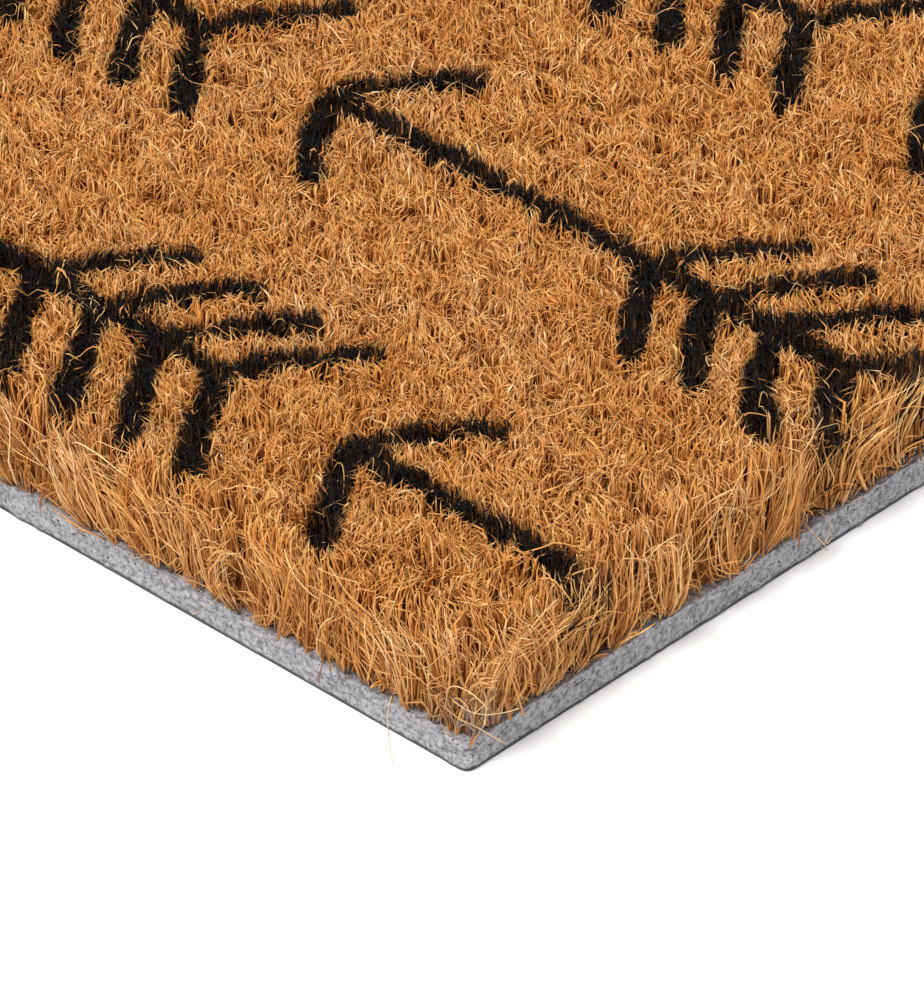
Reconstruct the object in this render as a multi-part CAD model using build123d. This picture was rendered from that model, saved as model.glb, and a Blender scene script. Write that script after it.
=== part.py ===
"""Coir door mat with a PVC backing and an all-over print of arrows.

Millimetres. Z is up, the origin is on the floor under the middle of the mat, X runs along the
mat's long side and Y from its front edge to its back edge.

The mat is one bonded sandwich. A dense skin and a foamed layer of PVC carry a pile of upright coir
fibres, whose roots are bedded in the top of the foam. The outermost fibres have nothing outside
them to lean on, so they splay past the backing as a fringe. The print is pile too: fibres whose
tips are dyed black down to a set depth, in rows of arrows that point along -X.
"""

from build123d import *

import os
from math import atan2, ceil, degrees, floor

# Overall sizes
mat_length = 600.0  # backing, along X
mat_depth = 400.0  # backing, along Y
mat_height = 15.0  # floor to fibre tips
corner_radius = 1.0  # plan corners, blunted by the cutting die

# Backing, from the floor up
skin_thickness = 0.3
foam_thickness = 2.0
root_layer_thickness = 1.0  # PVC that the fibre roots are bedded in

# Pile
fringe_width = 4.0  # outermost fibres that splay
fringe_flare = 2.0  # how far their tips pass the backing
dye_depth = 5.0  # how far the print reaches down from the tips

# Print: one arrow, from its point back along its shaft
stroke_width = 3.0
head_sweep = 7.7  # how far the barbs run back from the point
head_reach = 10.9  # how far they run out from the shaft
first_feather = 40.9  # point of the arrow to the first feather's root
feather_spacing = 7.7
feather_count = 4
feather_sweep = 8.2
feather_reach = 11.3

# Print: how the arrows repeat
arrow_spacing = 81.3  # point to point in a row
row_spacing = 39.2
row_shift = 41.0  # how far every second row is moved along -X
first_row_inset = 14.6  # front edge to the first row's shafts
first_point_inset = 28.1  # right edge to the first row's first point

# Heights that the layers share
foam_base = skin_thickness
root_layer_base = foam_base + foam_thickness
pile_base = root_layer_base + root_layer_thickness
dye_base = mat_height - dye_depth

# Field of upright pile, inside the fringe
field_length = mat_length - 2 * fringe_width
field_depth = mat_depth - 2 * fringe_width


def layer(bottom, top):
    """A layer of the backing, with the die's blunted corners."""
    outline = RectangleRounded(mat_length, mat_depth, corner_radius)
    return Pos(0, 0, bottom) * extrude(outline, top - bottom)


def stroke(start, end):
    """A straight, round-ended brush stroke from start to end, as a face."""
    run = Vector(*end) - Vector(*start)
    middle = (Vector(*start) + Vector(*end)) / 2
    turn = Rot(0, 0, degrees(atan2(run.Y, run.X)))
    return Pos(middle.X, middle.Y, 0) * turn * SlotCenterToCenter(run.length, stroke_width)


def arrow_outline():
    """One arrow's face, with its point at the origin and its shaft along +X."""
    last_root = first_feather + (feather_count - 1) * feather_spacing
    outline = stroke((0, 0), (last_root, 0))
    for side in (-1, 1):
        outline += stroke((0, 0), (head_sweep, side * head_reach))
        for index in range(feather_count):
            root = first_feather + index * feather_spacing
            outline += stroke((root, 0), (root + feather_sweep, side * feather_reach))
    return outline


def row_outlines():
    """The print's rows from front to back, each one the faces of its arrows, cut at the field's edges."""
    arrow = arrow_outline()
    arrow_box = arrow.bounding_box()
    field = Rectangle(field_length, field_depth)
    highest_shaft = field_depth / 2 - arrow_box.max.Y
    first_shaft = first_row_inset - mat_depth / 2
    rows = []
    for row in range(floor((highest_shaft - first_shaft) / row_spacing) + 1):
        shaft = first_shaft + row * row_spacing
        first_point = mat_length / 2 - first_point_inset - (row % 2) * row_shift
        last_copy = floor((first_point + arrow_box.max.X + field_length / 2) / arrow_spacing)
        first_copy = ceil((first_point + arrow_box.min.X - field_length / 2) / arrow_spacing)
        faces = []
        for copy in range(first_copy, last_copy + 1):
            placed = Pos(first_point - copy * arrow_spacing, shaft, 0) * arrow
            faces += (placed & field).faces()
        rows.append(faces)
    return rows


def fringe_ring():
    """The splayed outer pile: it starts at the backing's edge and leans out to the flare at its tips."""
    foot = Pos(0, 0, pile_base) * Rectangle(mat_length, mat_depth)
    tips_length = mat_length + 2 * fringe_flare
    tips_depth = mat_depth + 2 * fringe_flare
    tips = Pos(0, 0, mat_height) * Rectangle(tips_length, tips_depth)
    inside = Pos(0, 0, pile_base) * extrude(Rectangle(field_length, field_depth), mat_height)
    return loft([foot.face(), tips.face()]) - inside


def fringe_side(ring, turn, half_run, half_span):
    """One side of the ring, mitred at its corners. The side faces -Y before it is turned about Z."""
    reach = fringe_width + fringe_flare
    outer_x, outer_y = half_run + fringe_flare, half_span + fringe_flare
    mitre = Polyline(
        (-outer_x, -outer_y),
        (outer_x, -outer_y),
        (outer_x - reach, reach - outer_y),
        (reach - outer_x, reach - outer_y),
        close=True,
    )
    cutter = Pos(0, 0, pile_base) * Rot(0, 0, turn) * extrude(make_face(mitre), mat_height)
    return ring & cutter


nodes = {}
nodes["backing_skin"] = layer(0, foam_base)
nodes["pvc_foam_backing"] = layer(foam_base, root_layer_base)
nodes["bedded_root_layer"] = layer(root_layer_base, pile_base)

dyed_rows = []
for faces in row_outlines():
    dyed_rows.append([Pos(0, 0, dye_base) * extrude(face, dye_depth) for face in faces])
for number, arrows in enumerate(dyed_rows, start=1):
    nodes[f"dyed_arrow_row_{number:02d}"] = Compound(children=arrows)

ground_pile = Pos(0, 0, pile_base) * extrude(Rectangle(field_length, field_depth), mat_height - pile_base)
ground_pile -= [arrow for arrows in dyed_rows for arrow in arrows]
nodes["natural_ground_pile"] = ground_pile

ring = fringe_ring()
half_length, half_depth = mat_length / 2, mat_depth / 2
nodes["fringe_front"] = fringe_side(ring, 0, half_length, half_depth)
nodes["fringe_right"] = fringe_side(ring, 90, half_depth, half_length)
nodes["fringe_back"] = fringe_side(ring, 180, half_length, half_depth)
nodes["fringe_left"] = fringe_side(ring, 270, half_depth, half_length)

os.makedirs("parts", exist_ok=True)
for name, shape in nodes.items():
    export_step(shape, f"parts/{name}.step")
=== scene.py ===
"""A coir door mat with a foamed PVC backing and a printed pattern of arrows, built around its CAD frame.

The pile is made fibre by fibre. Close to the front right corner every bristle is there at its real
thickness. Away from it each bristle stands for a small tuft, so that the whole mat stays light
enough to handle. The print is made the way the real one is: the fibres whose tips lie inside an
arrow are dyed from the tip down.
"""

import math

import bmesh
import bpy
import numpy as np
from bpy.props import FloatProperty, FloatVectorProperty, IntProperty, PointerProperty
from bpy.types import Operator, Panel, PropertyGroup
from mathutils import Matrix, Vector, noise


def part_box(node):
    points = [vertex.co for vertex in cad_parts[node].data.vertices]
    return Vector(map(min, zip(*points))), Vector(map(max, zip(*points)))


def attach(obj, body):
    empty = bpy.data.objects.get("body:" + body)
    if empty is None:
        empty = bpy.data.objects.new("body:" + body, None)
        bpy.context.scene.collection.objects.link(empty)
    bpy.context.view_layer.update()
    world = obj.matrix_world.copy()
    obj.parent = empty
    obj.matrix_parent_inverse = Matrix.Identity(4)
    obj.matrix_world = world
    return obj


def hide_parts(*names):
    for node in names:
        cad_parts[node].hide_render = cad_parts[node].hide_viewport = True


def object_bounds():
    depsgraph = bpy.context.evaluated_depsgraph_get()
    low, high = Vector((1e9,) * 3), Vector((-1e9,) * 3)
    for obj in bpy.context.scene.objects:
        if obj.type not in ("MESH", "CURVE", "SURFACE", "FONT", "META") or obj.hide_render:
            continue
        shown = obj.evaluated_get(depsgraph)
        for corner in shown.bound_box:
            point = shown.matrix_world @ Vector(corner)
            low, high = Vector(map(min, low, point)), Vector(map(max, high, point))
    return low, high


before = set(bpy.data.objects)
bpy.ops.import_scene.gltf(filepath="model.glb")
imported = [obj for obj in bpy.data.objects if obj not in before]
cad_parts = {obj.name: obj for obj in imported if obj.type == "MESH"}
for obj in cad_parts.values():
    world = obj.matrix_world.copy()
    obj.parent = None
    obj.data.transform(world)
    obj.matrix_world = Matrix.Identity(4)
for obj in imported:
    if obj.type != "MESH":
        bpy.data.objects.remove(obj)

bl_info = {
    "name": "Coir Door Mat",
    "version": (1, 0, 0),
    "blender": (4, 5, 0),
    "location": "3D View > Sidebar > Door Mat",
    "description": "Builds a PVC-backed coir door mat with a dyed arrow print",
    "category": "Add Mesh",
}

MM = 0.001
BODY = "root"
CAD_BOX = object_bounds()

# Faces and layers that the frame gives
FOAM_LOW, FOAM_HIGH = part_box("pvc_foam_backing")
ROOTS_LOW, ROOTS_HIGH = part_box("bedded_root_layer")
FIELD_LOW, FIELD_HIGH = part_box("natural_ground_pile")
PILE_BASE, PILE_TOP = FIELD_LOW.z, FIELD_HIGH.z
PILE_LENGTH = PILE_TOP - PILE_BASE
HALF_LENGTH, HALF_DEPTH = FOAM_HIGH.x, FOAM_HIGH.y
FRINGE_WIDTH = HALF_LENGTH - FIELD_HIGH.x
FLARE = CAD_BOX[1].x - HALF_LENGTH
ROW_NODES = sorted(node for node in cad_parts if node.startswith("dyed_arrow_row"))
DYE_DEPTH = PILE_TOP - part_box(ROW_NODES[0])[0].z

# The print: one arrow from its point back along its shaft, and how arrows repeat
STROKE = 3.0 * MM
HEAD_SWEEP, HEAD_REACH = 7.7 * MM, 10.9 * MM
FIRST_FEATHER, FEATHER_SPACING, FEATHER_COUNT = 40.9 * MM, 7.7 * MM, 4
FEATHER_SWEEP, FEATHER_REACH = 8.2 * MM, 11.3 * MM
ARROW_SPACING, ROW_SHIFT, FIRST_POINT_INSET = 81.3 * MM, 41.0 * MM, 28.1 * MM
PRINT_GAIN = 0.97  # a printed stroke's mean width as a share of STROKE
HEAD_BOW, FEATHER_BOW = 0.7 * MM, 0.5 * MM

# The view that the stage's camera has of the front right corner
CORNER = Vector((HALF_LENGTH, -HALF_DEPTH, 0.0))
VIEW_AZIMUTH, VIEW_ELEVATION = math.radians(44.838), math.radians(35.786)
VIEW_ROLL = math.radians(-1.226)
VIEW_TARGET = CORNER + Vector((-29.417, 29.636, 0.0)) * MM
VIEW_DISTANCE, VIEW_LENS = 1.24644, 489.6

# How far from the corner the camera sees single fibres, and over what distance tufts take over
CLOSE_HALF_WIDTH, CLOSE_LENGTH, CLOSE_FADE = 44 * MM, 101 * MM, 11 * MM
CLOSE_PIECES, FAR_PIECES = 5, 4

# Pile
SPLAY_REACH = 9 * MM  # inward from the edge, where fibres start to lean out
CLOSE_BED, FAR_BED = 10.2 * MM, 13.0 * MM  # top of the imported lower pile, near the corner and away
PACKED_RISE = 0.6 * MM  # the dyed lower pile above and below that bed
BED_PITCH, BED_INSET = 5 * MM, 1 * MM
BED_RIM, BED_SUNK = 1 * MM, 0.3 * MM  # the bed's rim above the bedded roots, its underside in them
CURVED_SHARE, UNDYED_SHARE, PALE_SHARE = 0.25, 0.025, 0.13
# Painted shade: a fibre's colour darkens by these amounts per metre below the top of the pile, and by no
# more than the darkest fall, for the shade deep in the pile.
PILE_SHADE_FALL, TUFT_SHADE_FALL, FRINGE_SHADE_FALL = 0.18 / MM, 0.22 / MM, 0.012 / MM  # darker per metre downwards
DARKEST_PAINTED_SHADE = 0.42
# The tuft lift is painted light: it makes every tuft lighter, which shows most at its tips above the
# painted shade of its lower part.
MIDDLE_SHADE, TUFT_PAINTED_LIGHT, CLOSE_FRINGE_LIFT, FAR_FRINGE_LIFT = 0.58, 0.26, 0.11, 0.06

# Fringes: the outermost fibres, which splay past the backing in small clumps
CLUMP_PITCH, OUTERMOST = 2.7 * MM, 1.8 * MM
FOOT_INSET, FOOT_DEPTH = 0.3 * MM, 0.4 * MM
FRINGE_SIDES = {
    "fringe_front": (Vector((1, 0)), Vector((0, -1)), HALF_LENGTH, HALF_DEPTH),
    "fringe_right": (Vector((0, 1)), Vector((1, 0)), HALF_DEPTH, HALF_LENGTH),
    "fringe_back": (Vector((-1, 0)), Vector((0, 1)), HALF_LENGTH, HALF_DEPTH),
    "fringe_left": (Vector((0, -1)), Vector((-1, 0)), HALF_DEPTH, HALF_LENGTH),
}  # along, outward, half the run, distance of the edge from the middle

# The backing's cut side
CORNER_RADIUS, SIDE_PITCH = 1.0 * MM, 0.8 * MM

# Stage
FLOOR_SIZE, FLOOR_DROP, FLOOR_GLOW, SKY = 80.0, 0.02 * MM, 0.1, 0.7
FLOOR_PALE, WHITE = (0.82, 0.82, 0.82), (1.0, 1.0, 1.0)
KEY_TOWARDS, KEY_POWER, KEY_SOFTNESS = (0.05, -0.43, 0.9), 3.2, math.radians(25)


class MatSettings(PropertyGroup):
    """What a user of the mat would change."""

    fibre_width: FloatProperty(
        name="Fibre", description="Mean thickness of one coir fibre", default=0.165 * MM, unit="LENGTH"
    )
    fringe_width: FloatProperty(
        name="Fringe tuft", description="Thickness of a fringe tuft", default=0.55 * MM, unit="LENGTH"
    )
    tuft_width: FloatProperty(
        name="Tuft", description="Thickness of one tuft at its foot", default=0.85 * MM, unit="LENGTH"
    )
    close_fibres: FloatProperty(
        name="Close fibres", description="Fibres per square mm near the front right corner", default=8.6
    )
    far_tufts: FloatProperty(
        name="Tufts", description="Tufts per square mm away from that corner", default=0.64
    )
    dyed_tufts: FloatProperty(
        name="Dyed tufts", description="Tufts per square mm of print, away from that corner", default=1.5
    )
    close_fringe: FloatProperty(
        name="Close fringe", description="Fringe fibres per square mm near that corner", default=12.0
    )
    far_fringe: FloatProperty(
        name="Far fringe", description="Fringe tufts per square mm elsewhere", default=1.7
    )
    lean: FloatProperty(name="Lean", description="Slope by which fibres stray from upright", default=0.3)
    loose_strands: IntProperty(
        name="Loose strands", description="Curled strands near the front right corner", default=210
    )
    # Dark coir is also the colour that the painted shade deep in the pile runs down to.
    deep_coir: FloatVectorProperty(
        name="Dark coir", description="Darkest fibres", subtype="COLOR", default=(0.36, 0.12, 0.024)
    )
    coir: FloatVectorProperty(
        name="Coir", description="Most of the fibres", subtype="COLOR", default=(0.74, 0.31, 0.072)
    )
    pale_coir: FloatVectorProperty(
        name="Pale coir", description="Bleached fibres", subtype="COLOR", default=(0.88, 0.51, 0.185)
    )
    straw: FloatVectorProperty(
        name="Straw", description="Loose strands", subtype="COLOR", default=(0.90, 0.66, 0.34)
    )
    dye: FloatVectorProperty(
        name="Dye", description="Printed fibre tips", subtype="COLOR", default=(0.005, 0.0045, 0.005)
    )
    foam: FloatVectorProperty(
        name="Foam", description="Cut side of the backing", subtype="COLOR", default=(0.29, 0.285, 0.30)
    )
    skin: FloatVectorProperty(
        name="Skin", description="Underside of the mat", subtype="COLOR", default=(0.045, 0.045, 0.05)
    )


# Materials


def new_material(name, roughness, specular=0.5):
    """A new material, with its node tree and its shader."""
    material = bpy.data.materials.new(name)
    material.use_nodes = True
    shader = material.node_tree.nodes["Principled BSDF"]
    shader.inputs["Roughness"].default_value = roughness
    shader.inputs["Specular IOR Level"].default_value = specular
    return material, material.node_tree, shader


def own_place(tree):
    """Each point's place on the piece."""
    return tree.nodes.new("ShaderNodeTexCoord").outputs["Object"]


def own_height(tree):
    """Each point's height above the floor."""
    axes = tree.nodes.new("ShaderNodeSeparateXYZ")
    tree.links.new(own_place(tree), axes.inputs["Vector"])
    return axes.outputs["Z"]


def add_noise(tree, size, detail=2.0):
    """Noise on the piece's own coordinates, with lumps about size across."""
    pattern = tree.nodes.new("ShaderNodeTexNoise")
    pattern.inputs["Scale"].default_value = 1 / size
    pattern.inputs["Detail"].default_value = detail
    tree.links.new(own_place(tree), pattern.inputs["Vector"])
    return pattern.outputs["Fac"]


def add_ramp(tree, factor, *stops):
    """A colour ramp over factor. Each stop is a place from 0 to 1 and a colour."""
    ramp = tree.nodes.new("ShaderNodeValToRGB")
    elements = ramp.color_ramp.elements
    while len(elements) < len(stops):
        elements.new(0.5)
    for element, (place, colour) in zip(elements, stops):
        element.position = place
        element.color = (*colour, 1.0)
    tree.links.new(factor, ramp.inputs["Fac"])
    return ramp.outputs["Color"]


def add_mix(tree, factor, first, second, blend="MIX"):
    """A mix of two colours, each a socket or three numbers, by a socket or a number."""
    mix = tree.nodes.new("ShaderNodeMix")
    mix.data_type = "RGBA"
    mix.blend_type = blend
    for name, value in (("Factor", factor), ("A", first), ("B", second)):
        socket = mix.inputs[name]
        if isinstance(value, bpy.types.NodeSocket):
            tree.links.new(value, socket)
        elif isinstance(value, float):
            socket.default_value = value
        else:
            socket.default_value = (*value, 1.0)
    return mix.outputs["Result"]


def add_bump(tree, shader, height, distance):
    """Relief on a shader, from a height socket and the distance that its range stands for."""
    bump = tree.nodes.new("ShaderNodeBump")
    bump.inputs["Distance"].default_value = distance
    tree.links.new(height, bump.inputs["Height"])
    tree.links.new(bump.outputs["Normal"], shader.inputs["Normal"])


def mix_factor(tree, low, high, value):
    """A socket that goes from 0 to 1 as value, a socket, goes from low to high."""
    remap = tree.nodes.new("ShaderNodeMapRange")
    remap.inputs["From Min"].default_value = low
    remap.inputs["From Max"].default_value = high
    tree.links.new(value, remap.inputs["Value"])
    return remap.outputs["Result"]


def add_math(tree, operation, first, second):
    """The result of an operation on two sockets' numbers."""
    node = tree.nodes.new("ShaderNodeMath")
    node.operation = operation
    tree.links.new(first, node.inputs[0])
    tree.links.new(second, node.inputs[1])
    return node.outputs["Value"]


def scaled(colour, factor):
    """A colour made darker or lighter."""
    return tuple(factor * value for value in colour)


def read_attribute(tree, name):
    """A number that the piece's mesh holds at each point."""
    node = tree.nodes.new("ShaderNodeAttribute")
    node.attribute_name = name
    return node.outputs["Fac"]


def coir_fibre(settings):
    """Coir: each fibre's own tone with painted shade towards its foot, mottled along its length, under
    the dye that it took up.
    """
    if "coir_fibre" in bpy.data.materials:
        return bpy.data.materials["coir_fibre"]
    material, tree, shader = new_material("coir_fibre", 0.55, 0.14)
    # The shade attribute holds each fibre's tone less the painted shade of the deep pile, so deep rings
    # run towards dark coir.
    shade = add_ramp(
        tree,
        read_attribute(tree, "shade"),
        (0.0, settings.deep_coir),
        (0.45, settings.coir),
        (0.8, settings.pale_coir),
        (1.0, settings.straw),
    )
    mottle = add_ramp(tree, add_noise(tree, 0.9 * MM), (0.3, (0.80, 0.76, 0.70)), (0.6, WHITE))
    mottled = add_mix(tree, 1.0, shade, mottle, "MULTIPLY")
    drift = add_ramp(
        tree,
        add_noise(tree, 9 * MM, 3.0),
        (0.35, (0.90, 0.84, 0.76)),
        (0.5, WHITE),
        (0.65, (0.96, 0.98, 1.1)),
    )
    natural = add_mix(tree, 1.0, mottled, drift, "MULTIPLY")
    dyed = add_mix(tree, read_attribute(tree, "dye"), natural, settings.dye)
    colour = add_mix(tree, smear(tree), dyed, scaled(settings.foam, 0.8))
    tree.links.new(colour, shader.inputs["Base Color"])
    return material


def smear(tree):
    """Where PVC crept up the fibres: patches round their feet, and more at the front right corner."""
    feet = mix_factor(tree, PILE_BASE + 1.3 * MM, PILE_BASE + 0.1 * MM, own_height(tree))
    away = tree.nodes.new("ShaderNodeVectorMath")
    away.operation = "DISTANCE"
    away.inputs[1].default_value = (CORNER.x, CORNER.y, PILE_BASE)
    tree.links.new(own_place(tree), away.inputs[0])
    corner = mix_factor(tree, 6.5 * MM, 2.0 * MM, away.outputs["Value"])
    patches = mix_factor(tree, 0.38, 0.62, add_noise(tree, 1.2 * MM, 3.0))
    return add_math(tree, "MULTIPLY", add_math(tree, "MAXIMUM", feet, corner), patches)


def packed_dyed_coir(settings):
    """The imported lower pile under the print: near black, with a little brown where the dye ran out."""
    material, tree, shader = new_material("packed_dyed_coir", 0.8, 0.1)
    brown = scaled(settings.deep_coir, 0.2)
    tone = add_ramp(tree, add_noise(tree, 0.9 * MM, 4.0), (0.5, tuple(settings.dye)), (0.75, brown))
    tree.links.new(tone, shader.inputs["Base Color"])
    add_bump(tree, shader, add_noise(tree, 0.6 * MM, 4.0), 0.5 * MM)
    return material


def packed_coir(settings):
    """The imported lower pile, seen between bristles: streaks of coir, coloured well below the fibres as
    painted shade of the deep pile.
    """
    material, tree, shader = new_material("packed_coir", 0.85, 0.1)
    deep, mid = Vector(settings.deep_coir), Vector(settings.coir)
    # Painted shade: each colour is the coir's scaled down, for the shade between the bristles.
    streaks = add_ramp(
        tree,
        add_noise(tree, 1.1 * MM, 4.0),
        (0.35, tuple(0.35 * deep)),
        (0.5, tuple(0.28 * mid + 0.15 * deep)),
        (0.68, tuple(0.52 * mid)),
    )
    tree.links.new(streaks, shader.inputs["Base Color"])
    add_bump(tree, shader, add_noise(tree, 0.7 * MM, 4.0), 0.6 * MM)
    return material


def foamed_pvc(settings):
    """Foamed PVC where it was cut: mottled matt grey with specks, as dark as the skin at its foot."""
    material, tree, shader = new_material("foamed_pvc", 0.8)
    grey = settings.foam
    clouds = add_ramp(
        tree,
        add_noise(tree, 0.55 * MM, 6.0),
        (0.34, scaled(grey, 0.55)),
        (0.5, scaled(grey, 1.1)),
        (0.66, scaled(grey, 1.45)),
    )
    specks = mix_factor(tree, 0.58, 0.66, add_noise(tree, 0.3 * MM, 3.0))
    speckled = add_mix(tree, specks, clouds, scaled(grey, 0.22))
    above_skin = mix_factor(tree, FOAM_LOW.z, FOAM_LOW.z + 0.25 * MM, own_height(tree))
    colour = add_mix(tree, above_skin, tuple(settings.skin), speckled)
    tree.links.new(colour, shader.inputs["Base Color"])
    add_bump(tree, shader, add_noise(tree, 0.5 * MM, 4.0), 0.25 * MM)
    return material


def pvc_skin(settings):
    """Dense PVC skin: dark grey, satin, with a fine pebbled grip."""
    material, tree, shader = new_material("pvc_skin", 0.6)
    tone = add_ramp(
        tree,
        add_noise(tree, 6 * MM, 4.0),
        (0.35, scaled(settings.skin, 0.8)),
        (0.65, scaled(settings.skin, 1.2)),
    )
    tree.links.new(tone, shader.inputs["Base Color"])
    pebbles = tree.nodes.new("ShaderNodeTexVoronoi")
    pebbles.inputs["Scale"].default_value = 1 / (1.4 * MM)
    tree.links.new(own_place(tree), pebbles.inputs["Vector"])
    add_bump(tree, shader, pebbles.outputs["Distance"], 0.3 * MM)
    return material


# Places: where the camera is close, how the pile lies, and where the print is


def ripples(x, y, size, seed):
    """Smooth random waves over the plan, about size across, with a spread of 1."""
    draw = np.random.default_rng(seed)
    waves = 16
    total = np.zeros_like(x)
    for _ in range(waves):
        angle, phase = draw.uniform(0, 2 * np.pi, 2)
        pitch = size * draw.uniform(0.65, 1.6)
        total += np.sin(2 * np.pi / pitch * (x * np.cos(angle) + y * np.sin(angle)) + phase)
    return total / np.sqrt(waves / 2)


def ease(step):
    """0 to 1, with a soft start and end."""
    return step * step * (3 - 2 * step)


def closeness(x, y):
    """1 where the stage's camera sees the mat close up, falling to 0 outside that."""
    east, north = x - CORNER.x, y - CORNER.y
    across = east * math.cos(VIEW_AZIMUTH) + north * math.sin(VIEW_AZIMUTH)
    along = north * math.cos(VIEW_AZIMUTH) - east * math.sin(VIEW_AZIMUTH)
    outside = np.maximum(np.abs(across) - CLOSE_HALF_WIDTH, along - CLOSE_LENGTH)
    return 1 - ease(np.clip(outside / CLOSE_FADE, 0, 1))


def farness(x, y):
    """1 away from what the camera sees close up."""
    return 1 - closeness(x, y)


def inset(x, y):
    """Distance in from the nearest edge of the backing."""
    return np.minimum(HALF_LENGTH - np.abs(x), HALF_DEPTH - np.abs(y))


def tip_height(x, y):
    """Where the shears left the pile, with the pits between clumps."""
    pits = np.clip(ripples(x, y, 4.5 * MM, 11) + 0.8 * ripples(x, y, 2.2 * MM, 12), -2.6, 0.35)
    rounding = np.clip(1 - inset(x, y) / FRINGE_WIDTH, 0, 1) ** 2
    return PILE_TOP + (0.62 * pits + 0.15 - 0.8 * rounding) * MM


def comb(x, y, lean):
    """The slope that neighbouring fibres share, as X and Y runs per unit of height."""
    east = ripples(x, y, 7 * MM, 21) + 0.8 * ripples(x, y, 3 * MM, 22)
    north = ripples(x, y, 7 * MM, 23) + 0.8 * ripples(x, y, 3 * MM, 24)
    return lean * 0.75 * np.stack([east, north], 1)


def edge_splay(x, y):
    """How far tips near the edges lean out, in X and Y, because nothing stands outside them."""
    shift = np.zeros((len(x), 2))
    for axis, (place, half) in enumerate(((x, HALF_LENGTH), (y, HALF_DEPTH))):
        for side in (-1, 1):
            near = np.clip(1 - (half - side * place) / SPLAY_REACH, 0, 1)
            shift[:, axis] += side * FLARE * near**1.7
    return shift


def strokes():
    """An arrow's strokes on one side of its shaft, as start, end and outward bow."""
    yield (0.0, 0.0), (FIRST_FEATHER + (FEATHER_COUNT - 1) * FEATHER_SPACING, 0.0), 0.0
    yield (0.0, 0.0), (HEAD_SWEEP, HEAD_REACH), HEAD_BOW
    for index in range(FEATHER_COUNT):
        root = FIRST_FEATHER + index * FEATHER_SPACING
        yield (root, 0.0), (root + FEATHER_SWEEP, FEATHER_REACH), FEATHER_BOW


def printed_row(x, y):
    """The number of the printed row that each place is in, or -1 on bare pile."""
    found = np.full(len(x), -1)
    for row, node in enumerate(ROW_NODES):
        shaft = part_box(node)[1].y - FEATHER_REACH - STROKE / 2
        near = np.flatnonzero(np.abs(y - shaft) < FEATHER_REACH + STROKE)
        first_point = HALF_LENGTH - FIRST_POINT_INSET - (row % 2) * ROW_SHIFT
        back = np.mod(x[near] - first_point + STROKE, ARROW_SPACING) - STROKE
        side = np.abs(y[near] - shaft)
        waver = 0.09 * ripples(x[near], y[near], 9 * MM, 31)
        waver = waver + 0.08 * ripples(x[near], y[near], 1.6 * MM, 32)
        half_width = STROKE / 2 * (PRINT_GAIN + waver)
        for start, end, bow in strokes():
            run = np.subtract(end, start)
            length = np.hypot(*run)
            run = run / length
            along = ((back - start[0]) * run[0] + (side - start[1]) * run[1]) / length
            held = np.clip(along, 0, 1)
            off = (side - start[1]) * run[0] - (back - start[0]) * run[1] - 4 * bow * held * (1 - held)
            gap = np.hypot(off, (along - held) * length)
            found[near[gap < half_width]] = row
    return found


def scatter(rng, per_area, chance):
    """Spots all over the mat, so many per square millimetre, kept by the chance at each place."""
    cell = MM / math.sqrt(per_area)
    columns, lines = math.ceil(2 * HALF_LENGTH / cell), math.ceil(2 * HALF_DEPTH / cell)
    spots = np.stack(np.meshgrid(np.arange(columns), np.arange(lines)), -1).reshape(-1, 2) * cell
    spots = spots + rng.random(spots.shape) * cell - (HALF_LENGTH, HALF_DEPTH)
    spots = spots[inset(*spots.T) > 0]
    return spots[rng.random(len(spots)) < chance(*spots.T)]


# Strands


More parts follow.
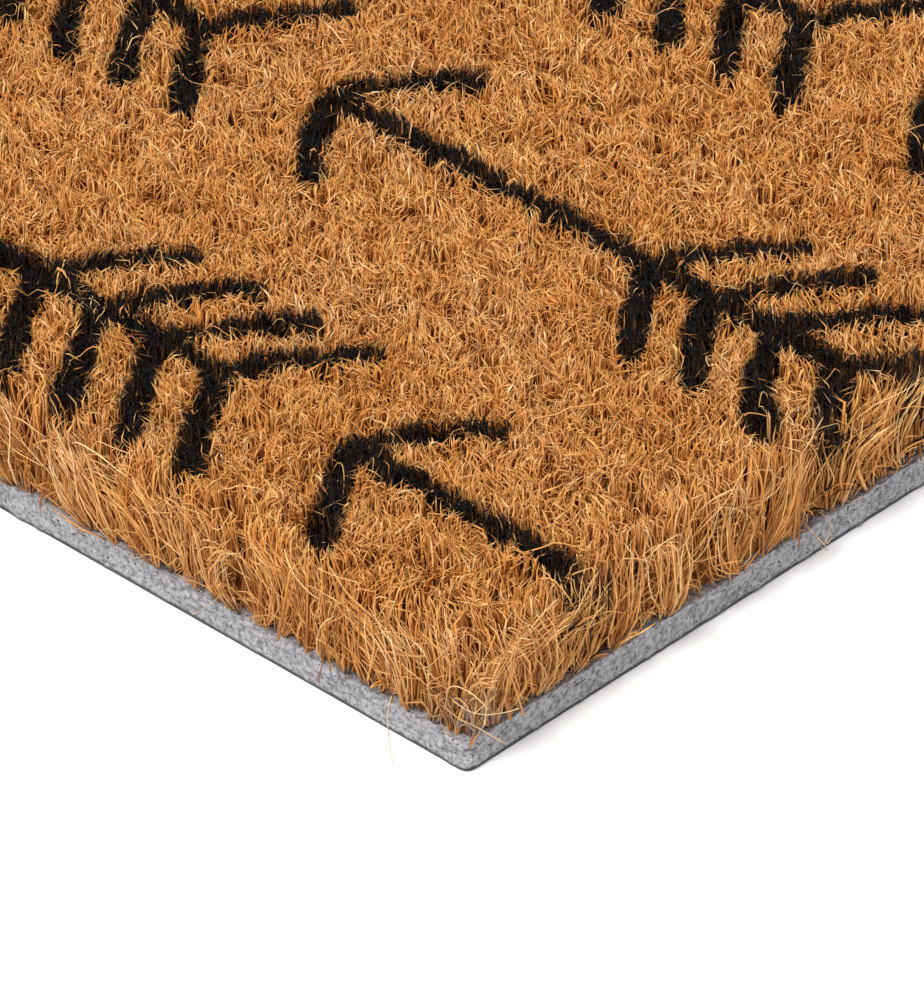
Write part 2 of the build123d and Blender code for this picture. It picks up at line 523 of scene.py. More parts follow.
class Strands:
    """Fibres gathered for one piece: three-sided closed tubes along their lines."""

    def __init__(self, seed):
        self.rng = np.random.default_rng(seed)
        self.points, self.faces, self.smooth, self.shades, self.dyes = [], [], [], [], []
        self.total = 0

    def add(self, lines, radii, shade, dye, pointed=False, flatness=1.0):
        """Adds fibres. Lines, radii, shade and dye hold a value for each ring of each fibre."""
        count, rings = lines.shape[:2]
        if count == 0:
            return
        forward = np.gradient(lines, axis=1)
        forward /= np.linalg.norm(forward, axis=2, keepdims=True)
        chord = lines[:, -1] - lines[:, 0]
        beside = np.cross(chord, self.rng.normal(size=(count, 3)))[:, None]
        across = beside - (beside * forward).sum(2, keepdims=True) * forward
        across /= np.linalg.norm(across, axis=2, keepdims=True)
        other = np.cross(forward, across)
        angles = np.arange(3) * 2 * np.pi / 3
        ring = across[:, :, None] * np.cos(angles)[:, None]
        ring = ring + flatness * other[:, :, None] * np.sin(angles)[:, None]
        points = lines[:, :, None] + ring * radii[:, :, None, None]
        size = 3 * rings - 2 * pointed
        points = points.reshape(count, 3 * rings, 3)[:, :size]
        if pointed:
            points[:, -1] = lines[:, -1]
        start = self.total + np.arange(count)[:, None, None] * size
        low = start + np.arange(3 * (rings - 1 - pointed)).reshape(1, -1, 3)
        high = np.roll(low, -1, 2)
        sides = np.stack([low, high, high + 3, low + 3], -1).reshape(-1, 4)
        foot = (start + np.array([2, 1, 0])).reshape(-1, 3)
        last = start + np.arange(size - 3 - pointed, size - pointed).reshape(1, -1, 3)
        if pointed:
            apex = np.broadcast_to(start + size - 1, last.shape)
            tips = np.stack([last, np.roll(last, -1, 2), apex], -1).reshape(-1, 3)
        else:
            tips = last.reshape(-1, 3)
        self.points.append(points.reshape(-1, 3))
        self.faces += [sides, foot, tips]
        bent = rings > 2
        self.smooth += [np.full(len(sides), bent), np.zeros(len(foot), bool)]
        self.smooth.append(np.full(len(tips), pointed and bent))
        self.shades.append(np.repeat(shade, 3, axis=1)[:, :size].ravel())
        self.dyes.append(np.repeat(dye, 3, axis=1)[:, :size].ravel())
        self.total += count * size

    def piece(self, name, settings, slot, *nodes):
        """Makes the gathered fibres one piece of the mat, which stands for these CAD nodes."""
        sizes = np.concatenate([np.full(len(part), part.shape[1]) for part in self.faces])
        corners = np.concatenate([part.ravel() for part in self.faces])
        mesh = bpy.data.meshes.new(name)
        mesh.vertices.add(self.total)
        mesh.vertices.foreach_set("co", np.concatenate(self.points).ravel())
        mesh.loops.add(len(corners))
        mesh.loops.foreach_set("vertex_index", corners.astype(np.int32))
        mesh.polygons.add(len(sizes))
        mesh.polygons.foreach_set("loop_start", (np.cumsum(sizes) - sizes).astype(np.int32))
        mesh.polygons.foreach_set("use_smooth", np.concatenate(self.smooth))
        for attribute, parts in (("shade", self.shades), ("dye", self.dyes)):
            values = mesh.attributes.new(attribute, "FLOAT", "POINT")
            values.data.foreach_set("value", np.concatenate(parts).astype(np.float32))
        mesh.update(calc_edges=True)
        mesh.materials.append(coir_fibre(settings))
        place(add_object(name, mesh), slot, *nodes)


def add_object(name, data):
    """A new object in the scene that shows this mesh, light or camera."""
    made = bpy.data.objects.new(name, data)
    bpy.context.scene.collection.objects.link(made)
    return made


def place(made, slot, *nodes):
    """Hangs a finished piece on the frame."""
    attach(made, BODY)
    if nodes:
        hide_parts(*nodes)


def draw_shades(rng, lines, fall, lift=0.0):
    """Shades along each fibre, from 0, dark, to 1, straw: each fibre's tone, less a painted shade that
    deepens by so much per metre downwards.
    """
    count = len(lines)
    shade = MIDDLE_SHADE + lift + rng.normal(0, 0.15, count)
    pale = rng.random(count) < PALE_SHARE
    shade[pale] = rng.uniform(0.7, 1.0, pale.sum())
    # Painted shade: rings lower in the pile are coloured darker.
    darker = np.clip((PILE_TOP - lines[:, :, 2]) * fall, 0, DARKEST_PAINTED_SHADE)
    return np.clip(shade[:, None] - darker, 0, 1)


def dye_along(lines, rng, places):
    """How black each ring is, from whether its place is in the print and how deep it lies."""
    inside = printed_row(places[:, :, 0].ravel(), places[:, :, 1].ravel()) >= 0
    depth = DYE_DEPTH * rng.uniform(0.8, 1.3, len(lines))[:, None]
    below = lines[:, -1:, 2] - lines[:, :, 2]
    taken = inside.reshape(lines.shape[:2]) & (rng.random(len(lines)) > UNDYED_SHARE)[:, None]
    return np.where(taken, np.clip((depth - below) / (0.3 * depth), 0, 1), 0.0)


def bristles(spots, rng, settings, rings, stray):
    """Lines and radii of single fibres with their tips at the spots: upright, and bent near the tip."""
    x, y = spots.T
    count = len(spots)
    shared = comb(x, y, settings.lean)
    splay = edge_splay(x, y)
    tip = np.empty((count, 3))
    tip[:, :2] = spots + splay
    tip[:, 2] = tip_height(x, y) + rng.normal(0, 0.2, count) * MM
    bend = tip.copy()
    drop = rng.uniform(0.4, 1.1, count) * MM
    bend[:, 2] -= drop
    bend[:, :2] -= (1.2 * shared + rng.normal(0, stray, (count, 2))) * drop[:, None]
    foot = bend.copy()
    foot[:, 2] = np.minimum(bed_height(x, y) - 0.6 * MM, bend[:, 2] - 1 * MM)
    slope = 0.25 * shared + rng.normal(0, 0.3 * settings.lean, (count, 2))
    slope = slope + splay / PILE_LENGTH
    foot[:, :2] -= slope * (bend[:, 2] - foot[:, 2])[:, None]
    if rings == 3:
        lines = np.stack([foot, bend, tip], 1)
    else:
        steps = np.linspace(0, 1, rings)[:, None] ** 0.8
        lines = (1 - steps) ** 2 * foot[:, None] + 2 * steps * (1 - steps) * bend[:, None]
        lines = lines + steps**2 * tip[:, None]
    width = settings.fibre_width * rng.lognormal(0, 0.3, count)[:, None]
    return lines, width / 2 * np.interp(np.linspace(0, 1, rings), (0, 0.6, 1), (1.15, 1.0, 0.5))


def tufts(spots, rng, settings):
    """Lines and radii of pointed tufts, each one standing for the fibres around its spot."""
    x, y = spots.T
    count = len(spots)
    slope = comb(x, y, settings.lean) + rng.normal(0, 1.1 * settings.lean, (count, 2))
    splay = edge_splay(x, y)
    lines = np.empty((count, 2, 3))
    lines[:, 1, 2] = tip_height(x, y) + rng.normal(0, 0.22, count) * MM
    lines[:, 0, 2] = bed_height(x, y) - 0.8 * MM
    lines[:, 1, :2] = spots + splay
    lines[:, 0, :2] = lines[:, 1, :2] - slope * (lines[:, 1, 2] - lines[:, 0, 2])[:, None] - 0.5 * splay
    radius = settings.tuft_width / 2 * rng.lognormal(0, 0.2, count)[:, None]
    return lines, radius * np.ones(2)


def inner_spots(rng, per_area, chance):
    """Tips inside the fringes, and the printed row of each."""
    spots = scatter(rng, per_area, chance)
    spots = spots[inset(*spots.T) > FRINGE_WIDTH]
    return spots, printed_row(*spots.T)


def close_spots(settings):
    """Tips of the single fibres, and the printed row of each."""
    return inner_spots(np.random.default_rng(101), settings.close_fibres, closeness)


def far_spots(settings):
    """Tips of the tufts, denser in the print, and the printed row of each."""
    rng = np.random.default_rng(102)
    densest = max(settings.far_tufts, settings.dyed_tufts)
    spots, row = inner_spots(rng, densest, farness)
    kept = (row >= 0) | (rng.random(len(spots)) < settings.far_tufts / densest)
    return spots[kept], row[kept]


def flat_bed(x, y):
    """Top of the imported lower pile, without its bumps."""
    return FAR_BED + (CLOSE_BED - FAR_BED) * closeness(x, y)


def bed_height(x, y):
    """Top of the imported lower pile, bumpy, and falling away inside the fringes."""
    reach = (2 + 3 * closeness(x, y)) * MM
    rise = ease(np.clip((inset(x, y) - BED_INSET) / reach, 0, 1))
    lowest = PILE_BASE + BED_RIM
    return lowest + (flat_bed(x, y) + 0.3 * ripples(x, y, 9 * MM, 41) * MM - lowest) * rise


# Fringes


def fringe_spots(rng, half_run, per_area):
    """Places on one side's fringe, as run along it and depth in from its edge, mitred at its ends."""
    count = round(2 * half_run * FRINGE_WIDTH * per_area / MM**2)
    run = (np.arange(count) + rng.random(count)) / count * 2 * half_run - half_run
    depth = rng.random(count) * FRINGE_WIDTH
    kept = depth < half_run - np.abs(run)
    return run[kept], depth[kept]


def fringe_lines(rng, run, depth, side, rings, clumps):
    """Lines of fringe fibres: gathered at their feet, leaning out and apart above."""
    half_run = side[2]
    count = len(run)
    inner = (depth > OUTERMOST / 2).astype(int)
    number = ((run + half_run) / CLUMP_PITCH + 0.5 * inner).astype(int)
    shared = clumps[inner, number]
    centre = (number + 0.5 - 0.5 * inner) * CLUMP_PITCH - half_run
    centre += shared[:, 0] * 0.25 * CLUMP_PITCH
    nearness = np.clip(1 - depth / OUTERMOST, 0, 1)
    tilt = 0.07 + 0.08 * nearness + 0.08 * shared[:, 1] + rng.normal(0, 0.045, count)
    lean = 0.20 * shared[:, 2] + rng.normal(0, 0.06, count) + 0.34 * (run - centre) / CLUMP_PITCH
    length = PILE_LENGTH * (1.02 + 0.04 * shared[:, 3])
    length *= np.clip(rng.normal(0.99, 0.06, count), 0.7, 1.12)
    length *= np.where(rng.random(count) < 0.35, rng.uniform(0.6, 0.97, count), 1)
    stray = (rng.random(count) < 0.12) & (depth < 1.2 * MM)
    tilt = np.where(stray, rng.uniform(0.3, 0.8, count), tilt)
    length = np.where(stray, rng.uniform(2.5, 8, count) * MM, length)
    corner = np.clip(1 - (half_run - np.abs(run)) / SPLAY_REACH, 0, 1) ** 1.5
    lean += np.sign(run) * 0.16 * corner
    curl = rng.normal(0.30, 0.17, count) + 0.36 * shared[:, 4]
    curl += np.where(stray, rng.uniform(0, 0.9, count), 0)
    twist = rng.normal(0, 0.16, count) + 0.55 * shared[:, 5]
    wave, phase = rng.normal(0, 0.14, (2, count)), rng.uniform(0, 2 * np.pi, count)
    local = np.zeros((count, rings, 3))
    local[:, 0, 0] = centre + 0.4 * (run - centre)
    local[:, 0, 1] = -np.maximum(0.94 * depth, FOOT_INSET)
    local[:, 0, 2] = PILE_BASE - FOOT_DEPTH
    steps = np.linspace(0, 1, rings) ** 0.9
    for ring in range(1, rings):
        middle = steps[ring] + steps[ring - 1] - 1
        out = tilt + curl * middle + wave[0] * np.sin(4 * middle + phase)
        sideways = lean + twist * middle + wave[1] * np.cos(4 * middle + phase)
        step = length * (steps[ring] - steps[ring - 1])
        local[:, ring, 0] = local[:, ring - 1, 0] + step * np.sin(sideways)
        local[:, ring, 1] = local[:, ring - 1, 1] + step * np.sin(out) * np.cos(sideways)
        local[:, ring, 2] = local[:, ring - 1, 2] + step * np.cos(out) * np.cos(sideways)
    kink = 0.5 * MM * np.clip(depth / OUTERMOST - 0.3, 0, 1)
    local[:, -1, :2] += rng.normal(size=(count, 2)) * kink[:, None]
    grown = local - local[:, :1]
    room = PILE_TOP + rng.uniform(-1.6, -0.1, count) * MM - local[:, 0, 2]
    shorter = np.minimum(1, room / np.maximum(grown[:, :, 2].max(1), MM))
    return to_plan(local[:, :1] + grown * shorter[:, None, None], side)


def to_plan(local, side):
    """Points given along a side, out from its edge and up, as points of the mat."""
    along, outward, _, edge = side
    plan = local[..., :1] * np.array(along) + (edge + local[..., 1:2]) * np.array(outward)
    return np.concatenate([plan, local[..., 2:]], -1)


def fringe(node, side, settings, seed):
    """One side's fringe: bristles inside, and clumps outside them."""
    strands = Strands(seed)
    rng = strands.rng
    half_run = side[2]
    clumps = rng.normal(size=(2, int(2 * half_run / CLUMP_PITCH) + 3, 6))
    kinds = (
        (settings.close_fringe, 6, closeness, settings.fibre_width, CLOSE_FRINGE_LIFT),
        (settings.far_fringe, 3, farness, settings.fringe_width, FAR_FRINGE_LIFT),
    )
    for per_area, rings, chance, width, lift in kinds:
        run, depth = fringe_spots(rng, half_run, per_area)
        spots = to_plan(np.stack([run, -depth, np.zeros(len(run))], 1), side)[:, :2]
        kept = rng.random(len(run)) < chance(*spots.T)
        run, depth, spots = run[kept], depth[kept], spots[kept]
        if chance is closeness:
            clumped = depth <= OUTERMOST
            thinned = ~clumped & (rng.random(len(run)) < settings.close_fibres / per_area)
            # These bristles take half the field's painted shade.
            add_bristles(strands, spots[thinned], settings, PILE_SHADE_FALL / 2)
            run, depth, spots = run[clumped], depth[clumped], spots[clumped]
        lines = fringe_lines(rng, run, depth, side, rings, clumps)
        taper = np.interp(np.linspace(0, 1, rings), (0, 0.5, 1), (1.0, 1.0, 0.6))
        radii = width / 2 * rng.lognormal(0, 0.28, len(run))[:, None] * taper
        dye = dye_along(lines, rng, np.repeat(spots[:, None], rings, axis=1))
        # Fringe fibres darken only a little downwards, as painted shade.
        strands.add(lines, radii, draw_shades(rng, lines, FRINGE_SHADE_FALL, lift), dye, pointed=True)
    strands.piece(f"{node}_fibres", settings, "coir_natural", node)


# Loose strands


def wandering(rng, starts, length, rings, curl):
    """Lines that start at given places, lie on the pile and wander, with both ends tucked in."""
    count = len(starts)
    steps = length[:, None] / (rings - 1)
    turns = rng.normal(0, curl, (count, 1)) + rng.normal(0, 0.5 * curl, (count, rings - 1))
    heading = rng.uniform(0, 2 * np.pi, (count, 1)) + np.cumsum(turns, 1)
    lines = np.zeros((count, rings, 3))
    lines[:, 1:, 0] = np.cumsum(np.cos(heading) * steps, 1)
    lines[:, 1:, 1] = np.cumsum(np.sin(heading) * steps, 1)
    lines[:, :, :2] += starts[:, None, :]
    along = np.linspace(0, 1, rings)
    arch = np.sin(np.pi * along) ** 0.6
    swell = rng.uniform(0.8, 1.7, (count, 1)) * arch
    swell = swell + 0.2 * np.sin(5 * along + rng.uniform(0, 6, (count, 1)))
    x, y = lines[:, :, 0].ravel(), lines[:, :, 1].ravel()
    lines[:, :, 2] = tip_height(x, y).reshape(count, rings) + (swell - 1.1) * MM
    return lines


def add_shed(strands, lines, radius, palest):
    """Adds undyed strands, each one of even thickness and shade."""
    count, rings = lines.shape[:2]
    radii = radius * strands.rng.lognormal(0, 0.25, count)[:, None] * np.ones(rings)
    shade = strands.rng.uniform(0.55, palest, count)[:, None] * np.ones(rings)
    strands.add(lines, radii, shade, np.zeros((count, rings)))


def side_curls(strands, side):
    """Curls that lie against a fringe's outer face, near the front right corner."""
    rng = strands.rng
    count, rings = 120, 11
    half_run = side[2]
    towards_corner = 1 if side is FRINGE_SIDES["fringe_front"] else -1
    run = towards_corner * (half_run - rng.uniform(0, 62, count) * MM)
    length = rng.uniform(4, 10, count) * MM
    heading = rng.uniform(-0.6, 3.7, count)[:, None] + np.cumsum(rng.normal(0, 0.12, (count, rings)), 1)
    heading += rng.normal(0, 0.22, (count, 1)) * np.arange(rings)
    local = np.zeros((count, rings, 3))
    steps = length[:, None] / (rings - 1)
    local[:, :, 0] = run[:, None] + np.cumsum(np.cos(heading) * steps, 1)
    local[:, :, 2] = rng.uniform(4.5, 12, count)[:, None] * MM + np.cumsum(np.sin(heading) * steps, 1)
    local[:, :, 2] = np.clip(local[:, :, 2], PILE_BASE, PILE_TOP + 0.5 * MM)
    rise = (local[:, :, 2] - PILE_BASE) / PILE_LENGTH
    bulge = 0.9 * np.sin(np.pi * np.linspace(0.02, 0.98, rings)) * rng.uniform(0.4, 1.4, count)[:, None]
    local[:, :, 1] = (-0.9 + 1.6 * rise + bulge) * MM
    add_shed(strands, to_plan(local, side), 0.05 * MM, 0.95)


def smooth_line(points, rings):
    """A rounded line of so many rings along a few given points, in millimetres."""
    points = np.array(points)
    places = np.linspace(0, 1, len(points))
    wanted = np.linspace(0, 1, rings)
    rounded = np.stack([np.interp(wanted, places, points[:, axis]) for axis in range(3)], 1)
    for _ in range(3):
        rounded[1:-1] = (rounded[:-2] + 2 * rounded[1:-1] + rounded[2:]) / 4
    return rounded[None] * MM


def edge_hairs(strands):
    """A few single hairs that hang from the cut edges near the front right corner."""
    rings, radius, shade = 12, 0.055 * MM, 0.95
    hairs = (
        ((-9.2, 1.0, 4.6), (-8.6, -0.8, 5.0), (-7.4, -2.6, 4.4), (-6.6, -3.3, 2.5), (-5.0, -4.2, 0.1)),
        ((-1.0, 46.5, 4.0), (1.2, 46.8, 3.6), (1.9, 46.0, 2.2), (1.4, 45.2, 1.4), (0.9, 45.8, 2.4),
         (1.6, 46.6, 3.0)),
        ((-0.8, 44.2, 4.4), (1.4, 44.0, 3.6), (2.2, 44.9, 2.0), (1.6, 45.6, 0.9), (1.1, 44.9, 1.7)),
        ((-31.0, 1.0, 4.4), (-31.4, -1.0, 3.6), (-32.6, -1.6, 2.4), (-33.6, -1.3, 1.6)),
    )  # points from the corner: to the right, to the back and up
    for hair in hairs:
        lines = np.array(CORNER) + smooth_line(hair, rings)
        even = np.ones((1, rings))
        strands.add(lines, radius * even, shade * even, 0 * even, pointed=True)


def loose_strands(settings):
    """Curls of shed fibre, husk flakes and edge hairs."""
    strands = Strands(61)
    rng = strands.rng
    close = scatter(rng, 0.1, closeness)
    close = close[rng.permutation(len(close))[: settings.loose_strands]]
    far = scatter(rng, 0.003, farness)
    for starts, rings, radius in ((close, 10, 0.05 * MM), (far, 6, 0.1 * MM)):
        length = rng.gamma(3.0, 1.3, len(starts)) * MM
        add_shed(strands, wandering(rng, starts, length, rings, 0.24), radius, 0.9)
    for node in ("fringe_front", "fringe_right"):
        side_curls(strands, FRINGE_SIDES[node])
    flakes = scatter(rng, 0.004, closeness)
    count = len(flakes)
    lines = wandering(rng, flakes, rng.uniform(1.0, 2.4, count) * MM, 4, 0.2)
    lines[:, :, 2] += 0.5 * MM
    radii = rng.uniform(0.12, 0.2, count)[:, None] * MM * np.array([0.3, 1.0, 0.9, 0.4])
    shade = rng.uniform(0.55, 0.85, count)[:, None] * np.ones(4)
    strands.add(lines, radii, shade, np.zeros((count, 4)), flatness=0.2)
    edge_hairs(strands)
    strands.piece("loose_strands", settings, "coir_natural")


# Pile


def split_along(spots, parts):
    """Splits spots into groups of equal number, by place along the mat."""
    return np.array_split(np.argsort(spots[:, 0], kind="stable"), parts)


def add_bristles(strands, spots, settings, fall=PILE_SHADE_FALL):
    """Single upright fibres with their tips at the spots, a share of them curved."""
    rng = strands.rng
    curved = rng.random(len(spots)) < CURVED_SHARE
    for chosen, rings, stray in ((~curved, 3, 0.85), (curved, 5, 1.5)):
        lines, radii = bristles(spots[chosen], rng, settings, rings, stray)
        before_splay = lines[:, :, :2] - edge_splay(*spots[chosen].T)[:, None]
        dye = dye_along(lines, rng, before_splay)
        # Their colour darkens downwards by fall, as painted shade.
        strands.add(lines, radii, draw_shades(rng, lines, fall), dye, pointed=True)


def add_tufts(strands, spots, settings):
    """Pointed tufts at the spots."""
    rng = strands.rng
    lines, radii = tufts(spots, rng, settings)
    dye = dye_along(lines, rng, np.repeat(spots[:, None], 2, axis=1))
    # Tufts are lightened as painted light and darkened downwards as painted shade.
    strands.add(lines, radii, draw_shades(rng, lines, TUFT_SHADE_FALL, TUFT_PAINTED_LIGHT), dye, pointed=True)


def natural_pile(settings):
    """All upright fibres between the fringes that the print missed."""
    kinds = (
        ("near_corner", close_spots, add_bristles, CLOSE_PIECES, 200),
        ("band", far_spots, add_tufts, FAR_PIECES, 220),
    )
    for word, find_spots, add_fibres, parts, seed in kinds:
        spots, row = find_spots(settings)
        spots = spots[row < 0]
        for number, part in enumerate(split_along(spots, parts), start=1):
            strands = Strands(seed + number)
            add_fibres(strands, spots[part], settings)
            name = f"natural_pile_{word}_{number}"
            strands.piece(name, settings, "coir_natural", "natural_ground_pile")


def dyed_rows(settings):
    """The print, row by row: dyed bristles and tufts, and the dyed lower pile that fills the arrows."""
    close, close_row = close_spots(settings)
    far, far_row = far_spots(settings)
    packed = packed_dyed_coir(settings)
    for row, node in enumerate(ROW_NODES):
        strands = Strands(240 + row)
        add_bristles(strands, close[close_row == row], settings)
        add_tufts(strands, far[far_row == row], settings)
        strands.piece(f"{node}_fibres", settings, "coir_dyed", node)
        packed_row(node, packed)


def packed_row(node, material):
    """The dyed lower pile under one row: the row's own outlines, low between the fibres."""
    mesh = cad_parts[node].data.copy()
    mesh.name = f"{node}_packed"
    shape = bmesh.new()
    shape.from_mesh(mesh)
    bmesh.ops.remove_doubles(shape, verts=shape.verts, dist=0.001 * MM)
    bmesh.ops.dissolve_limit(shape, angle_limit=math.radians(12), verts=shape.verts, edges=shape.edges)
    falling_from = CORNER.x - 2.2 * CLOSE_HALF_WIDTH  # the bed is lower from here to the corner
    for x in np.arange(falling_from, CORNER.x, BED_PITCH):
        everything = shape.verts[:] + shape.edges[:] + shape.faces[:]
        bmesh.ops.bisect_plane(shape, geom=everything, plane_co=(x, 0, 0), plane_no=(1, 0, 0))
    middle = PILE_TOP - DYE_DEPTH / 2
    for vertex in shape.verts:
        rise = PACKED_RISE if vertex.co.z > middle else -PACKED_RISE
        vertex.co.z = flat_bed(vertex.co.x, vertex.co.y) + rise
    bmesh.ops.triangulate(shape, faces=shape.faces[:])
    shape.to_mesh(mesh)
    shape.free()
    mesh.materials.clear()
    mesh.materials.append(material)
    place(add_object(mesh.name, mesh), "coir_dyed", node)


def pile_bed(settings):
    """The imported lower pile: a gridded slab whose top is bumpy and falls away at the edges."""
    bpy.ops.object.select_all(action="DESELECT")
    thickness = 5 * MM  # before its top and its underside are put in place
    bpy.ops.mesh.primitive_grid_add(
        x_subdivisions=round(2 * HALF_LENGTH / BED_PITCH),
        y_subdivisions=round(2 * HALF_DEPTH / BED_PITCH),
        size=1,
    )
    bed = bpy.context.object
    bed.name = bed.data.name = "packed_lower_pile"
    bed.scale = (2 * (HALF_LENGTH - BED_INSET), 2 * (HALF_DEPTH - BED_INSET), 1)
    bpy.ops.object.transform_apply()
    bpy.ops.object.mode_set(mode="EDIT")
    bpy.ops.mesh.select_all(action="SELECT")
    bpy.ops.mesh.extrude_region_move(TRANSFORM_OT_translate={"value": (0, 0, thickness)})
    bpy.ops.mesh.select_all(action="SELECT")
    bpy.ops.mesh.normals_make_consistent()
    bpy.ops.object.mode_set(mode="OBJECT")
    points = np.empty(3 * len(bed.data.vertices))
    bed.data.vertices.foreach_get("co", points)
    points = points.reshape(-1, 3)
    top = points[:, 2] > thickness / 2
    x, y = points[:, 0], points[:, 1]
    points[:, 2] = np.where(top, bed_height(x, y), PILE_BASE - BED_SUNK)
    bed.data.vertices.foreach_set("co", points.ravel())
    bed.data.update()
    bpy.ops.object.shade_smooth_by_angle(angle=math.radians(40))
    bed.data.materials.append(packed_coir(settings))
    place(bed, "coir_natural", "natural_ground_pile")


# Backing


def cut_slab(name, low, high, layers, roughness, seed):
    """A sheet of backing with its plan as the CAD's, and a side that the cutting die left rough."""
    bpy.ops.object.select_all(action="DESELECT")
    bpy.ops.mesh.primitive_plane_add(size=1, location=(0, 0, low))
    slab = bpy.context.object
    slab.name = slab.data.name = name
    slab.scale = (2 * HALF_LENGTH, 2 * HALF_DEPTH, 1)
    bpy.ops.object.transform_apply()
    bpy.ops.object.mode_set(mode="EDIT")
    bpy.ops.mesh.select_all(action="SELECT")
    bpy.ops.mesh.bevel(offset=CORNER_RADIUS, segments=5, affect="VERTICES")
    bpy.ops.mesh.select_all(action="SELECT")
    bpy.ops.mesh.delete(type="ONLY_FACE")
    bpy.ops.object.mode_set(mode="OBJECT")
    divide_long_edges(slab.data, SIDE_PITCH)
    bpy.ops.object.mode_set(mode="EDIT")
    bpy.ops.mesh.select_all(action="SELECT")
    bpy.ops.mesh.edge_face_add()
    bpy.ops.mesh.select_all(action="SELECT")
    bpy.ops.mesh.duplicate()
    bpy.ops.transform.translate(value=(0, 0, high - low))
    bpy.ops.mesh.select_all(action="SELECT")
    bpy.ops.mesh.bridge_edge_loops(number_cuts=layers - 1)
    bpy.ops.mesh.select_all(action="SELECT")
    bpy.ops.mesh.normals_make_consistent()
    bpy.ops.object.mode_set(mode="OBJECT")
    roughen(slab.data, roughness, seed)
    return slab


def divide_long_edges(mesh, pitch):
    """Cuts an outline's straight runs into equal lengths."""
    shape = bmesh.new()
    shape.from_mesh(mesh)
    for edge in list(shape.edges):
        cuts = round(edge.calc_length() / pitch) - 1
        if cuts > 0:
            bmesh.ops.subdivide_edges(shape, edges=[edge], cuts=cuts)
    shape.to_mesh(mesh)
    shape.free()


def roughen(mesh, roughness, seed):
    """Moves a slab's side in and out by small torn lumps."""
    shift = Vector((seed, seed / 2, 0))
    for vertex in mesh.vertices:
        spot = vertex.co / MM
        coarse = noise.noise(spot * 0.45 + shift)
        fine = noise.noise(spot * Vector((1.3, 1.3, 1.6)) + shift)
        move = roughness * (0.9 * coarse + 1.1 * fine - 0.35)
        for axis, half in ((0, HALF_LENGTH), (1, HALF_DEPTH)):
            if half - abs(vertex.co[axis]) < CORNER_RADIUS:
                vertex.co[axis] += math.copysign(move, vertex.co[axis])


def backing(settings):
    """The foamed layer and the layer that roots are bedded in, with rough sides, over the dense skin."""
    layers = (
        ("foamed_backing_sheet", FOAM_LOW.z, FOAM_HIGH.z, 5, 0.22 * MM, 3, "pvc_foam_backing"),
        ("bedded_roots_sheet", ROOTS_LOW.z, ROOTS_HIGH.z, 3, 0.36 * MM, 7, "bedded_root_layer"),
    )
    foam = foamed_pvc(settings)
    for name, low, high, count, roughness, seed, node in layers:
        slab = cut_slab(name, low, high, count, roughness, seed)
        slab.data.materials.append(foam)
        place(slab, "pvc_foam", node)
    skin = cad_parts["backing_skin"]
    skin.data.materials.clear()
    skin.data.materials.append(pvc_skin(settings))


# Stage


def stage():
    """A pale floor, soft studio light and the camera."""
    bpy.ops.object.select_all(action="DESELECT")
    bpy.ops.mesh.primitive_plane_add(size=FLOOR_SIZE, location=(0, 0, -FLOOR_DROP))
    floor = bpy.context.object
    floor.name = "floor"
    material, _, shader = new_material("studio_floor", 0.9, 0.1)
    shader.inputs["Base Color"].default_value = (*FLOOR_PALE, 1)
    shader.inputs["Emission Color"].default_value = (*WHITE, 1)
    shader.inputs["Emission Strength"].default_value = FLOOR_GLOW
    floor.data.materials.append(material)
    lamp = bpy.data.lights.new("key_light", "SUN")
    lamp.energy = KEY_POWER
    lamp.angle = KEY_SOFTNESS
    key = add_object("key_light", lamp)
    key.rotation_euler = Vector(KEY_TOWARDS).to_track_quat("Z", "Y").to_euler()
    world = bpy.data.worlds.new("studio")
    world.use_nodes = True
    sky = world.node_tree.nodes["Background"]
    sky.inputs["Color"].default_value = (*WHITE, 1)
    sky.inputs["Strength"].default_value = SKY
    bpy.context.scene.world = world
    bpy.context.scene.view_settings.view_transform = "Standard"
    lens = bpy.data.cameras.new("camera")
    lens.lens = VIEW_LENS
    lens.clip_start, lens.clip_end = 0.01, 100
    camera = add_object("camera", lens)
    camera.matrix_world = view_matrix()
    bpy.context.scene.camera = camera


def view_matrix():
    """Where the camera stands and how it is turned."""
    tilt = math.pi / 2 - VIEW_ELEVATION
    turned = Matrix.Rotation(VIEW_AZIMUTH, 4, "Z") @ Matrix.Rotation(tilt, 4, "X")
    turned = turned @ Matrix.Rotation(VIEW_ROLL, 4, "Z")
    return Matrix.Translation(VIEW_TARGET) @ turned @ Matrix.Translation((0, 0, VIEW_DISTANCE))


# Operators


class DOORMAT_OT_backing(Operator):
    """Adds the PVC backing with its cut sides and its skin"""

    bl_idname = "doormat.backing"
    bl_label = "Backing"

    def execute(self, context):
        backing(context.scene.door_mat)
        return {"FINISHED"}


class DOORMAT_OT_pile_bed(Operator):
    """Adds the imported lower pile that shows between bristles"""

    bl_idname = "doormat.pile_bed"
    bl_label = "Packed Lower Pile"

    def execute(self, context):
        pile_bed(context.scene.door_mat)
        return {"FINISHED"}


class DOORMAT_OT_natural_pile(Operator):
    """Adds the undyed upright fibres"""

    bl_idname = "doormat.natural_pile"
    bl_label = "Natural Pile"

    def execute(self, context):
        natural_pile(context.scene.door_mat)
        return {"FINISHED"}


class DOORMAT_OT_dyed_rows(Operator):
    """Adds the dyed fibres of every printed row"""

    bl_idname = "doormat.dyed_rows"
    bl_label = "Dyed Rows"

    def execute(self, context):
        dyed_rows(context.scene.door_mat)
        return {"FINISHED"}


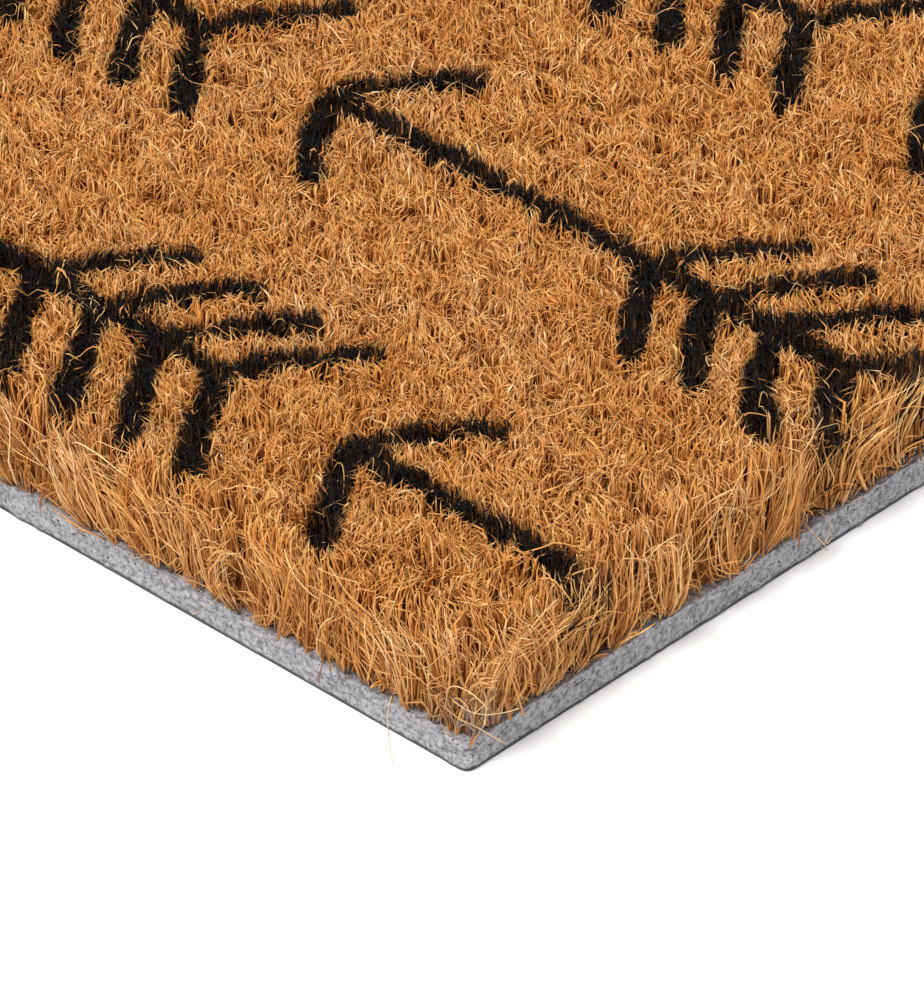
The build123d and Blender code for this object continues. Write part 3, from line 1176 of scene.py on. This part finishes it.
class DOORMAT_OT_fringes(Operator):
    """Adds the splayed fibres along the four cut edges"""

    bl_idname = "doormat.fringes"
    bl_label = "Fringes"

    def execute(self, context):
        for seed, (node, side) in enumerate(FRINGE_SIDES.items(), start=50):
            fringe(node, side, context.scene.door_mat, seed)
        return {"FINISHED"}


class DOORMAT_OT_loose_strands(Operator):
    """Adds curled loose strands, husk flakes and the hairs that hang from the edges"""

    bl_idname = "doormat.loose_strands"
    bl_label = "Loose Strands"

    def execute(self, context):
        loose_strands(context.scene.door_mat)
        return {"FINISHED"}


class DOORMAT_OT_stage(Operator):
    """Adds the floor, the lights and the camera"""

    bl_idname = "doormat.stage"
    bl_label = "Stage"

    def execute(self, context):
        stage()
        return {"FINISHED"}


OPERATORS = (
    DOORMAT_OT_stage,
    DOORMAT_OT_backing,
    DOORMAT_OT_pile_bed,
    DOORMAT_OT_natural_pile,
    DOORMAT_OT_dyed_rows,
    DOORMAT_OT_fringes,
    DOORMAT_OT_loose_strands,
)


class DOORMAT_PT_panel(Panel):
    """Lists the mat's sizes and colours, and the operators that build it"""

    bl_label = "Door Mat"
    bl_idname = "DOORMAT_PT_panel"
    bl_space_type = "VIEW_3D"
    bl_region_type = "UI"
    bl_category = "Door Mat"

    def draw(self, context):
        for name in MatSettings.__annotations__:
            self.layout.prop(context.scene.door_mat, name)
        for operator in OPERATORS:
            self.layout.operator(operator.bl_idname)


CLASSES = (MatSettings, *OPERATORS, DOORMAT_PT_panel)


def register():
    for cls in CLASSES:
        bpy.utils.register_class(cls)
    bpy.types.Scene.door_mat = PointerProperty(type=MatSettings)


def unregister():
    del bpy.types.Scene.door_mat
    for cls in reversed(CLASSES):
        bpy.utils.unregister_class(cls)


def main():
    register()
    bpy.ops.doormat.stage()
    bpy.ops.doormat.backing()
    bpy.ops.doormat.pile_bed()
    bpy.ops.doormat.natural_pile()
    bpy.ops.doormat.dyed_rows()
    bpy.ops.doormat.fringes()
    bpy.ops.doormat.loose_strands()


if __name__ == "__main__":
    main()
